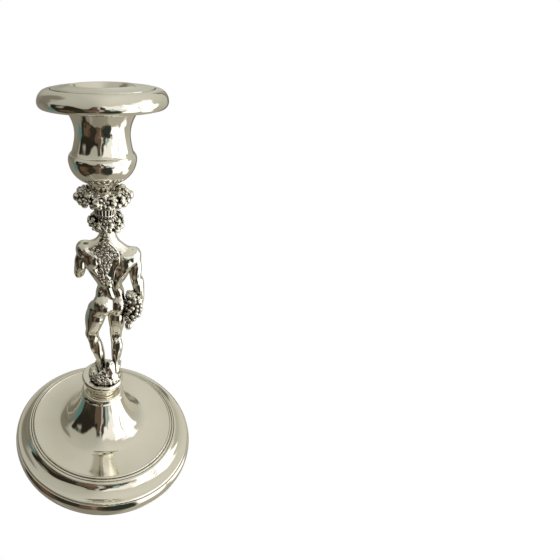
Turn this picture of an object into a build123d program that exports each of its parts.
from build123d import *

import os
from math import cos, radians, sin

os.makedirs("parts", exist_ok=True)

# Figural candlestick in silver-plated brass and bronze, in millimetres, +Z up.
# The origin is the centre of the felt's underside. The figure faces +Y, so its back is towards -Y.
# From the bottom: foot, collar, neck, disc, mound, figure, basket, garland, urn, pan and a loose nozzle.

# ---------------------------------------------------------------- driving dimensions
FOOT_R = 68.2            # side band at its widest
BAND_TOP = 10.4          # top of the side band
PLATEAU_R = 52.0         # edge of the smooth plateau
PLATEAU_Z = 20.0
CONE_FOOT_R = 35.0       # where the cone's curve runs out into the plateau
CONE_TOP_R = 15.0
CONE_TOP_Z = 46.6
SHEET = 1.2              # wall of the spun foot

FELT_R = 64.6
FELT_T = 1.4
LIP_R = 67.7             # bottom lip round the felt
LIP_Z = (0.3, 1.4)
CLOSING_T = 1.2
BAND_BORE_R = 66.8

BALLAST_R = 49.0
BALLAST_Z = (12.0, 18.4)
ROD_R = 3.0              # M6 rod through the foot
ROD_HOLE_R = 3.2
ROD_Z = (5.0, 66.5)
HEX_M6 = 5.8             # circumscribed radius of a 10 mm hexagon
HEX_M5 = 4.6             # circumscribed radius of an 8 mm hexagon

COLLAR_R = 15.7
COLLAR_TOP_Z = 52.0
NECK_R = 8.0
NECK_TOP_Z = 56.6
DISC_R = 14.7
DISC_TOP_Z = 64.4
GROUND_Z = 68.4          # soles of the feet
ROCK_TOP_Z = 82.0        # rock behind the heels

STUD_R = 2.5             # M5 rod through the urn
STUD_HOLE_R = 2.7
STUD_Z = (187.6, 212.4)
BASKET_X = 1.2           # the basket and wreath sit a little to the right of the main axis
BASKET_Z = (186.0, 190.6)
STEM_TOP_Z = 204.6
GARLAND_R = 16.2
GARLAND_Z = (191.2, 203.0)

URN_R = 17.9             # lower bulge
URN_MID_Z = 215.0
URN_SEAM_Z = 218.8
URN_WAIST_R = 14.2
URN_WAIST_Z = 228.6
SEAT_Z = (246.2, 247.2)  # ledge of the pan that carries the nozzle
PAN_R = 31.8
PAN_STEP_R = 25.3        # step round the nozzle plate
PAN_STEP_Z = 248.5

CANDLE_R = 11.4          # bore for a 22 mm candle
SLEEVE_R = 12.3
SLEEVE_Z = (224.4, 243.8)
MOUTH_R = 14.8
NOZZLE_GAP = 0.1         # under the nozzle plate
PLATE_R = 25.0
TOP_Z = 250.0


# ---------------------------------------------------------------- foot
with BuildPart() as foot_shell:
    with BuildSketch(Plane.XZ):
        with BuildLine():
            # Outer face, from the lip up the band, over the step, cove, bead and plateau, up the cone.
            band = ThreePointArc((LIP_R, LIP_Z[1]), (FOOT_R, 5.6), (67.3, BAND_TOP))
            step = Polyline(band @ 1, (66.6, BAND_TOP), (66.6, 10.9))
            bead_low = ThreePointArc(step @ 1, (66.3, 11.8), (65.3, 12.1))
            cove = ThreePointArc(bead_low @ 1, (60.2, 13.7), (57.3, 17.9))
            bead = ThreePointArc(cove @ 1, (56.9, 19.2), (55.6, 19.4))
            reed_1 = ThreePointArc((55.3, 19.1), (54.6, 19.9), (53.8, 19.4))
            reed_2 = ThreePointArc((53.5, 19.4), (52.9, 20.4), (PLATEAU_R, PLATEAU_Z))
            Line(bead @ 1, reed_1 @ 0)
            Line(reed_1 @ 1, reed_2 @ 0)
            plateau = ThreePointArc(reed_2 @ 1, (43.5, 19.6), (CONE_FOOT_R, PLATEAU_Z - 0.1))
            cone = Spline(
                plateau @ 1,
                (27.4, 23.6),
                (20.6, 33.2),
                (CONE_TOP_R, CONE_TOP_Z),
                tangents=((-1, 0.05), (-0.36, 1)),
            )
            # Inner face, back down to the open bottom of the band.
            Polyline(
                cone @ 1,
                (ROD_HOLE_R, CONE_TOP_Z),
                (ROD_HOLE_R, CONE_TOP_Z - SHEET),
                (13.7, CONE_TOP_Z - SHEET),
                (18.6, 33.4),
                (25.6, 22.6),
                (32.0, BALLAST_Z[1]),
                (51.6, BALLAST_Z[1]),
                (55.8, 17.2),
                (59.2, 12.4),
                (65.0, 10.7),
                (BAND_BORE_R, 9.2),
                (BAND_BORE_R, LIP_Z[1]),
                band @ 0,
            )
        make_face()
    revolve(axis=Axis.Z)
foot_shell.part.label = "foot_shell"

with BuildPart() as foot_rim_ring:
    with BuildSketch(Plane.XZ):
        with BuildLine():
            edge = ThreePointArc((LIP_R - 0.5, LIP_Z[0]), (LIP_R, 0.85), (LIP_R - 0.5, LIP_Z[1]))
            Polyline(edge @ 1, (FELT_R + 0.2, LIP_Z[1]), (FELT_R + 0.2, LIP_Z[0]), edge @ 0)
        make_face()
    revolve(axis=Axis.Z)
foot_rim_ring.part.label = "foot_rim_ring"

with BuildPart() as felt_pad:
    Cylinder(FELT_R, FELT_T, align=(Align.CENTER, Align.CENTER, Align.MIN))
felt_pad.part.label = "felt_pad"

with BuildPart() as base_plate:
    with BuildSketch(Plane.XY.offset(FELT_T)):
        Circle(BAND_BORE_R - 0.1)
    extrude(amount=CLOSING_T)
base_plate.part.label = "base_plate"

with BuildPart() as ballast_disc:
    with BuildSketch(Plane.XY.offset(BALLAST_Z[0])):
        Circle(BALLAST_R)
        Circle(ROD_HOLE_R, mode=Mode.SUBTRACT)
    extrude(amount=BALLAST_Z[1] - BALLAST_Z[0])
    chamfer(ballast_disc.edges().filter_by(GeomType.CIRCLE).group_by(SortBy.RADIUS)[-1], 1.0)
ballast_disc.part.label = "ballast_disc"

# ---------------------------------------------------------------- clamping hardware
WASHER_T = 1.2
NUT_T = 4.6

with BuildPart() as lower_stud:
    with BuildSketch(Plane.XY.offset(ROD_Z[0])):
        Circle(ROD_R)
    extrude(amount=ROD_Z[1] - ROD_Z[0])
    chamfer(lower_stud.edges().filter_by(GeomType.CIRCLE), 0.6)
lower_stud.part.label = "lower_stud"

with BuildPart() as lower_washer:
    with BuildSketch(Plane.XY.offset(BALLAST_Z[0] - WASHER_T)):
        Circle(9.0)
        Circle(ROD_HOLE_R, mode=Mode.SUBTRACT)
    extrude(amount=WASHER_T)
lower_washer.part.label = "lower_washer"

with BuildPart() as lower_nut:
    with BuildSketch(Plane.XY.offset(BALLAST_Z[0] - WASHER_T - NUT_T)):
        RegularPolygon(HEX_M6, 6)
        Circle(ROD_R, mode=Mode.SUBTRACT)
    extrude(amount=NUT_T)
lower_nut.part.label = "lower_nut"

# ---------------------------------------------------------------- collar, neck and disc
with BuildPart() as collar_ring:
    with BuildSketch(Plane.XZ):
        with BuildLine():
            foot = Polyline((ROD_HOLE_R, CONE_TOP_Z), (14.3, CONE_TOP_Z), (14.4, 47.2), (15.4, 47.2))
            lip = ThreePointArc(foot @ 1, (COLLAR_R, 47.7), (15.55, 48.3))
            wall = ThreePointArc(lip @ 1, (14.85, 49.6), (14.6, 51.0))
            top = ThreePointArc(wall @ 1, (14.2, 51.8), (13.2, COLLAR_TOP_Z))
            Polyline(top @ 1, (ROD_HOLE_R, COLLAR_TOP_Z), foot @ 0)
        make_face()
    revolve(axis=Axis.Z)
collar_ring.part.label = "collar_ring"

with BuildPart() as spool_neck:
    with BuildSketch(Plane.XZ):
        with BuildLine():
            low = Polyline((ROD_HOLE_R, COLLAR_TOP_Z), (10.4, COLLAR_TOP_Z), (10.4, 52.8))
            waist = ThreePointArc(low @ 1, (NECK_R, 54.8), (9.4, NECK_TOP_Z))
            Polyline(waist @ 1, (ROD_HOLE_R, NECK_TOP_Z), low @ 0)
        make_face()
    revolve(axis=Axis.Z)
spool_neck.part.label = "spool_neck"

with BuildPart() as plinth_disc:
    with BuildSketch(Plane.XZ):
        with BuildLine():
            hollow = ThreePointArc((9.4, NECK_TOP_Z), (12.9, 58.2), (DISC_R - 0.1, 61.6))
            edge = ThreePointArc(hollow @ 1, (DISC_R, 63.3), (DISC_R - 0.8, DISC_TOP_Z))
            Polyline(
                edge @ 1,
                (ROD_HOLE_R, DISC_TOP_Z),
                (ROD_HOLE_R, NECK_TOP_Z),
                hollow @ 0,
            )
        make_face()
    revolve(axis=Axis.Z)
plinth_disc.part.label = "plinth_disc"

# ---------------------------------------------------------------- figure
# Sections are (x, y, z, radius in x, radius in y). The weight is on the leg at -X and the hip goes out
# that way. The crown is 7.7 heads above the soles.
TORSO = (
    (2.0, 0.2, 116.5, 11.4, 6.6),
    (2.4, -0.6, 121.5, 10.9, 7.8),
    (4.2, -0.4, 128.5, 9.3, 7.4),
    (4.5, 0.6, 138.0, 8.0, 5.8),
    (4.2, 1.0, 150.5, 10.9, 6.9),
    (3.6, 0.6, 159.0, 13.4, 7.4),
    (3.2, 0.2, 165.5, 13.0, 5.6),
)
NECK = ((3.2, 0.2, 165.0, 8.4, 5.0), (3.2, 0.8, 170.5, 5.2, 4.8), (3.0, 1.8, 176.0, 4.9, 4.9))
LEFT_LEG = (
    (-3.9, -0.3, 122.0, 6.8, 7.2),
    (-4.4, 0.2, 114.0, 6.2, 6.8),
    (-6.2, 1.0, 107.0, 5.0, 5.8),
    (-6.6, 2.0, 101.0, 4.2, 4.6),
    (-5.2, 0.9, 95.5, 4.2, 4.6),
    (-3.4, 0.0, 90.0, 4.3, 4.7),
    (-1.8, -0.8, 83.0, 3.6, 3.7),
    (-0.8, -1.3, 75.0, 2.6, 2.9),
    (-0.8, -0.6, 69.4, 2.8, 3.4),
)
RIGHT_LEG = (
    (9.1, -0.3, 122.0, 5.4, 6.8),
    (9.3, 0.4, 114.0, 4.9, 6.0),
    (9.1, 1.0, 107.0, 4.0, 5.0),
    (9.1, 1.8, 101.0, 3.6, 4.3),
    (9.9, 0.6, 93.5, 4.1, 4.5),
    (9.9, -0.2, 88.0, 3.8, 4.3),
    (9.2, -1.0, 80.0, 2.9, 3.2),
    (9.3, -1.3, 74.5, 2.4, 2.7),
    (9.5, -0.6, 69.4, 2.7, 3.3),
)
# Feet are (x of heel, y of heel, x of toes, y of toes).
FEET = ((-0.8, -2.6, -3.2, 11.6), (9.5, -2.6, 11.0, 11.4))
FOOT_H = 3.6
HEAD = (2.8, 2.2, 179.6)
HEAD_R = (5.4, 7.6)      # half width and half height


def limb(rings):
    """A tapering solid through horizontal ellipses, each (x, y, z, radius in x, radius in y)."""
    faces = []
    for x, y, z, rx, ry in rings:
        with BuildSketch(Plane.XY.offset(z)) as ring:
            with Locations((x, y)):
                Ellipse(rx, ry)
        faces.append(ring.sketch)
    with BuildPart() as solid:
        loft(faces)
    return solid.part


def thickened(rings, skin):
    """The same sections, each larger by skin."""
    return [(x, y, z, rx + skin, ry + skin) for x, y, z, rx, ry in rings]


with BuildPart() as figure:
    for rings in (TORSO, NECK, LEFT_LEG, RIGHT_LEG):
        add(limb(rings))
    for heel_x, heel_y, toe_x, toe_y in FEET:
        with BuildSketch(Plane.XY.offset(GROUND_Z)):
            with BuildLine():
                FilletPolyline(
                    (heel_x - 2.4, heel_y),
                    (heel_x + 2.4, heel_y),
                    (toe_x + 3.0, toe_y),
                    (toe_x - 3.0, toe_y),
                    radius=1.8,
                    close=True,
                )
            make_face()
        extrude(amount=FOOT_H, taper=14)
    with BuildSketch(Plane.XZ.offset(-HEAD[1])):
        with Locations((HEAD[0], HEAD[2])):
            Ellipse(*HEAD_R)
        with Locations((HEAD[0] + HEAD_R[1], HEAD[2])):
            Rectangle(2 * HEAD_R[1], 4 * HEAD_R[1], mode=Mode.INTERSECT)
    revolve(axis=Axis((HEAD[0], HEAD[1], 0), (0, 0, 1)))
figure.part.label = "figure"

# ---------------------------------------------------------------- mound
# Low rocky ground with a taller rock and leaves behind the heels. A blind hole takes the rod.
with BuildPart() as ground_mound:
    with BuildSketch(Plane.XY.offset(DISC_TOP_Z)):
        with Locations((1.0, 0.6)):
            Ellipse(11.8, 12.4)
    with BuildSketch(Plane.XY.offset(GROUND_Z)):
        with Locations((2.6, 1.4)):
            Ellipse(10.6, 11.6)
    loft()
    with BuildSketch(Plane.XY.offset(DISC_TOP_Z + 1.0)):
        with Locations((2.4, -6.6)):
            Ellipse(8.6, 5.2)
    with BuildSketch(Plane.XY.offset(ROCK_TOP_Z)):
        with Locations((4.6, -5.0)):
            Ellipse(3.2, 2.0)
    loft()
    with BuildSketch(Plane.XY.offset(DISC_TOP_Z)):
        Circle(ROD_R)
    extrude(amount=ROD_Z[1] - DISC_TOP_Z, mode=Mode.SUBTRACT)
    add(figure.part, mode=Mode.SUBTRACT)
ground_mound.part.label = "ground_mound"

# Goatskin: a skin over the back, cut to its hanging outline of nape, band, tapering body and tail.
PELT_T = 1.3
with BuildPart() as fur_pelt:
    add(limb(thickened(TORSO, PELT_T)))
    add(limb(thickened(NECK, PELT_T)))
    with BuildSketch(Plane.XZ.offset(1.0)):
        with BuildLine():
            Polyline(
                (-6.8, 164.8),
                (-3.4, 168.6),
                (2.4, 171.4),
                (9.8, 163.8),
                (9.8, 156.6),
                (7.4, 153.0),
                (6.6, 141.4),
                (2.0, 141.2),
                (-0.6, 149.5),
                (-3.0, 161.2),
                close=True,
            )
        make_face()
    extrude(amount=20, mode=Mode.INTERSECT)
    add(figure.part, mode=Mode.SUBTRACT)
fur_pelt.part.label = "fur_pelt"

# The right arm hangs, a little away from the trunk, and its hand holds the grapes.
RIGHT_ARM = (
    (18.2, 0.0, 165.4, 3.4, 3.6),
    (19.0, -0.2, 162.0, 4.6, 4.6),
    (20.2, -0.6, 154.0, 3.9, 4.0),
    (20.9, -0.8, 146.5, 3.3, 3.4),
    (22.2, 0.0, 139.0, 3.2, 3.3),
    (24.0, 1.2, 131.0, 2.3, 2.4),
    (24.6, 1.8, 125.0, 2.8, 3.0),
)
with BuildPart() as right_arm:
    add(limb(RIGHT_ARM))
    add(figure.part, mode=Mode.SUBTRACT)
    add(fur_pelt.part, mode=Mode.SUBTRACT)
right_arm.part.label = "right_arm"

# The left arm bends at the elbow, and the forearm goes forward and up to a hand laid on the breast.
LEFT_UPPER_ARM = (
    (-11.4, 0.0, 166.2, 3.4, 3.6),
    (-12.4, 0.1, 163.0, 4.6, 4.6),
    (-14.2, 0.9, 155.0, 4.0, 4.0),
    (-15.0, 1.8, 148.6, 3.5, 3.5),
    (-15.1, 2.2, 145.6, 2.6, 2.6),
)
LEFT_FOREARM = ((-14.8, 2.6, 148.4, 3.3), (-12.2, 6.0, 151.4, 3.2), (-6.6, 9.8, 156.2, 2.2))
LEFT_FIST = (-4.2, 10.2, 157.7, 3.2)
with BuildPart() as left_forearm:
    wrist = Vector(*LEFT_FOREARM[-1][:3])
    elbow = Vector(*LEFT_FOREARM[0][:3])
    for x, y, z, r in LEFT_FOREARM:
        with BuildSketch(Plane(origin=(x, y, z), z_dir=wrist - elbow)):
            Circle(r)
    loft()
    with Locations(LEFT_FIST[:3]):
        Sphere(LEFT_FIST[3])
with BuildPart() as left_arm:
    add(limb(LEFT_UPPER_ARM))
    add(left_forearm.part)
    add(figure.part, mode=Mode.SUBTRACT)
    add(fur_pelt.part, mode=Mode.SUBTRACT)
left_arm.part.label = "left_arm"

# Grapes in a hanging drop, clear of the thigh.
GRAPES = (
    (16.8, -3.4, 107.0, 1.2, 1.2),
    (17.0, -3.4, 110.0, 2.3, 2.3),
    (18.8, -3.2, 115.0, 4.4, 4.6),
    (19.9, -3.0, 121.0, 6.0, 5.8),
    (20.4, -2.8, 127.0, 5.6, 5.2),
    (21.6, -2.2, 134.0, 2.8, 2.8),
)
with BuildPart() as grape_bunch:
    add(limb(GRAPES))
    add(right_arm.part, mode=Mode.SUBTRACT)
    add(figure.part, mode=Mode.SUBTRACT)
grape_bunch.part.label = "grape_bunch"

# ---------------------------------------------------------------- head ornament
WREATH_AT = (2.4, 1.4, 181.2)
with BuildPart() as head_wreath:
    with Locations(Location(WREATH_AT, (-12, 0, 0))):
        Torus(7.2, 3.1)
    add(figure.part, mode=Mode.SUBTRACT)
head_wreath.part.label = "head_wreath"

FLUTES = 20
with BuildPart() as fluted_basket:
    with BuildSketch(Plane.XY.offset(BASKET_Z[0])):
        with Locations((BASKET_X, 0.5)):
            Circle(5.7)
    with BuildSketch(Plane.XY.offset(BASKET_Z[1])):
        with Locations((BASKET_X, 0.5)):
            Circle(6.4)
    loft()
    with BuildSketch(Plane.XY.offset(BASKET_Z[0])):
        for i in range(FLUTES):
            turn = radians(360 / FLUTES * i)
            with Locations((BASKET_X + 6.5 * cos(turn), 0.5 + 6.5 * sin(turn))):
                Circle(0.5)
    extrude(amount=BASKET_Z[1] - BASKET_Z[0], mode=Mode.SUBTRACT)
    with BuildSketch(Plane.XY.offset(STUD_Z[0])):
        Circle(STUD_R)
    extrude(amount=6, mode=Mode.SUBTRACT)
    add(figure.part, mode=Mode.SUBTRACT)
    add(head_wreath.part, mode=Mode.SUBTRACT)
fluted_basket.part.label = "fluted_basket"

with BuildPart() as fruit_garland:
    with BuildSketch(Plane.XZ):
        with BuildLine():
            belly = ThreePointArc((9.5, GARLAND_Z[0]), (GARLAND_R, 196.8), (9.8, GARLAND_Z[1]))
            Polyline(belly @ 1, (6.6, 199.8), (6.6, GARLAND_Z[0]), belly @ 0)
        make_face()
    revolve(axis=Axis.Z)
fruit_garland.part.label = "fruit_garland"

# ---------------------------------------------------------------- urn
BOWL_FLOOR_Z = 206.6

with BuildPart() as urn_stem:
    with BuildSketch(Plane.XZ):
        with BuildLine():
            base = Polyline((STUD_R, BASKET_Z[1]), (6.2, BASKET_Z[1]), (6.2, 192.0))
            waist = ThreePointArc(base @ 1, (5.3, 196.4), (6.1, 200.0))
            flare = ThreePointArc(waist @ 1, (7.2, 202.6), (9.2, STEM_TOP_Z))
            Polyline(flare @ 1, (STUD_R, STEM_TOP_Z), base @ 0)
        make_face()
    revolve(axis=Axis.Z)
urn_stem.part.label = "urn_stem"

with BuildPart() as urn_bowl:
    with BuildSketch(Plane.XZ):
        with BuildLine():
            floor = Line((STUD_HOLE_R, STEM_TOP_Z), (9.2, STEM_TOP_Z))
            belly = ThreePointArc(floor @ 1, (15.2, 208.6), (URN_R, URN_MID_Z))
            shoulder = ThreePointArc(belly @ 1, (17.8, 217.2), (17.1, URN_SEAM_Z))
            inner = Line(shoulder @ 1, (16.0, URN_SEAM_Z))
            wall = ThreePointArc(inner @ 1, (15.0, 211.0), (8.8, BOWL_FLOOR_Z))
            Polyline(wall @ 1, (STUD_HOLE_R, BOWL_FLOOR_Z), floor @ 0)
        make_face()
    revolve(axis=Axis.Z)
urn_bowl.part.label = "urn_bowl"

with BuildPart() as urn_neck:
    with BuildSketch(Plane.XZ):
        with BuildLine():
            outer = Spline(
                (16.7, URN_SEAM_Z),
                (15.3, 222.0),
                (URN_WAIST_R, URN_WAIST_Z),
                (15.6, 235.0),
                (18.6, 240.4),
                (24.4, SEAT_Z[0]),
                tangents=((-0.9, 1), (1, 0.45)),
            )
            inner = Spline(
                (22.8, SEAT_Z[0]),
                (17.4, 241.0),
                (14.5, 235.4),
                (URN_WAIST_R - 1.0, URN_WAIST_Z),
                (14.2, 221.8),
                (15.3, URN_SEAM_Z),
                tangents=((-1, -0.5), (0.8, -1)),
            )
            Line(outer @ 1, inner @ 0)
            Line(inner @ 1, outer @ 0)
        make_face()
    revolve(axis=Axis.Z)
urn_neck.part.label = "urn_neck"

with BuildPart() as drip_pan:
    with BuildSketch(Plane.XZ):
        with BuildLine():
            seat = Polyline((16.8, SEAT_Z[0]), (16.8, SEAT_Z[1]), (PAN_STEP_R, SEAT_Z[1]))
            step = Line(seat @ 1, (PAN_STEP_R, PAN_STEP_Z))
            roll = ThreePointArc(step @ 1, (30.1, 246.9), (PAN_R, 243.2))
            hem = ThreePointArc(roll @ 1, (31.5, 241.6), (30.6, 240.6))
            turn = ThreePointArc(hem @ 1, (30.0, 240.7), (30.2, 241.3))
            under = ThreePointArc(turn @ 1, (29.2, 246.0), (26.2, SEAT_Z[0] + 0.2))
            Polyline(under @ 1, (PAN_STEP_R, SEAT_Z[0]), seat @ 0)
        make_face()
    revolve(axis=Axis.Z)
drip_pan.part.label = "drip_pan"

with BuildPart() as upper_stud:
    with BuildSketch(Plane.XY.offset(STUD_Z[0])):
        Circle(STUD_R)
    extrude(amount=STUD_Z[1] - STUD_Z[0])
    chamfer(upper_stud.edges().filter_by(GeomType.CIRCLE), 0.5)
upper_stud.part.label = "upper_stud"

with BuildPart() as socket_washer:
    with BuildSketch(Plane.XY.offset(BOWL_FLOOR_Z)):
        Circle(6.4)
        Circle(STUD_HOLE_R, mode=Mode.SUBTRACT)
    extrude(amount=1.0)
socket_washer.part.label = "socket_washer"

with BuildPart() as socket_nut:
    with BuildSketch(Plane.XY.offset(BOWL_FLOOR_Z + 1.0)):
        RegularPolygon(HEX_M5, 6)
        Circle(STUD_R, mode=Mode.SUBTRACT)
    extrude(amount=4.0)
socket_nut.part.label = "socket_nut"

# ---------------------------------------------------------------- loose nozzle
PLATE_Z = SEAT_Z[1] + NOZZLE_GAP
with BuildPart() as nozzle_plate:
    with BuildSketch(Plane.XZ):
        with BuildLine():
            rim = Line((PLATE_R, PLATE_Z), (PLATE_R, 248.3))
            edge = ThreePointArc(rim @ 1, (24.8, 248.8), (24.2, 249.0))
            dish = ThreePointArc(edge @ 1, (20.4, 248.9), (16.8, 249.7))
            lip = ThreePointArc(dish @ 1, (15.7, TOP_Z), (MOUTH_R, 249.5))
            funnel = ThreePointArc(lip @ 1, (12.6, 246.9), (CANDLE_R, SLEEVE_Z[1]))
            joint = Line(funnel @ 1, (SLEEVE_R, SLEEVE_Z[1]))
            under = ThreePointArc(joint @ 1, (13.6, 246.1), (15.6, PLATE_Z))
            Line(under @ 1, rim @ 0)
        make_face()
    revolve(axis=Axis.Z)
nozzle_plate.part.label = "nozzle_plate"

with BuildPart() as nozzle_sleeve:
    with BuildSketch(Plane.XY.offset(SLEEVE_Z[0])):
        Circle(SLEEVE_R)
    extrude(amount=SLEEVE_Z[1] - SLEEVE_Z[0])
    with BuildSketch(Plane.XY.offset(SLEEVE_Z[0] + 1.0)):
        Circle(CANDLE_R)
    extrude(amount=SLEEVE_Z[1] - SLEEVE_Z[0], mode=Mode.SUBTRACT)
    chamfer(nozzle_sleeve.faces().sort_by(Axis.Z)[0].edges(), 0.6)
nozzle_sleeve.part.label = "nozzle_sleeve"

# ---------------------------------------------------------------- files
for piece in (
    foot_shell, foot_rim_ring, felt_pad, base_plate, ballast_disc, lower_stud, lower_washer, lower_nut,
    collar_ring, spool_neck, plinth_disc, ground_mound, figure, left_arm, right_arm, fur_pelt,
    grape_bunch, head_wreath, fluted_basket, fruit_garland, urn_stem, urn_bowl, urn_neck, drip_pan,
    upper_stud, socket_washer, socket_nut, nozzle_plate, nozzle_sleeve,
):
    export_step(piece.part, f"parts/{piece.part.label}.step")
    print(piece.part.label, len(piece.part.solids()), round(piece.part.volume))
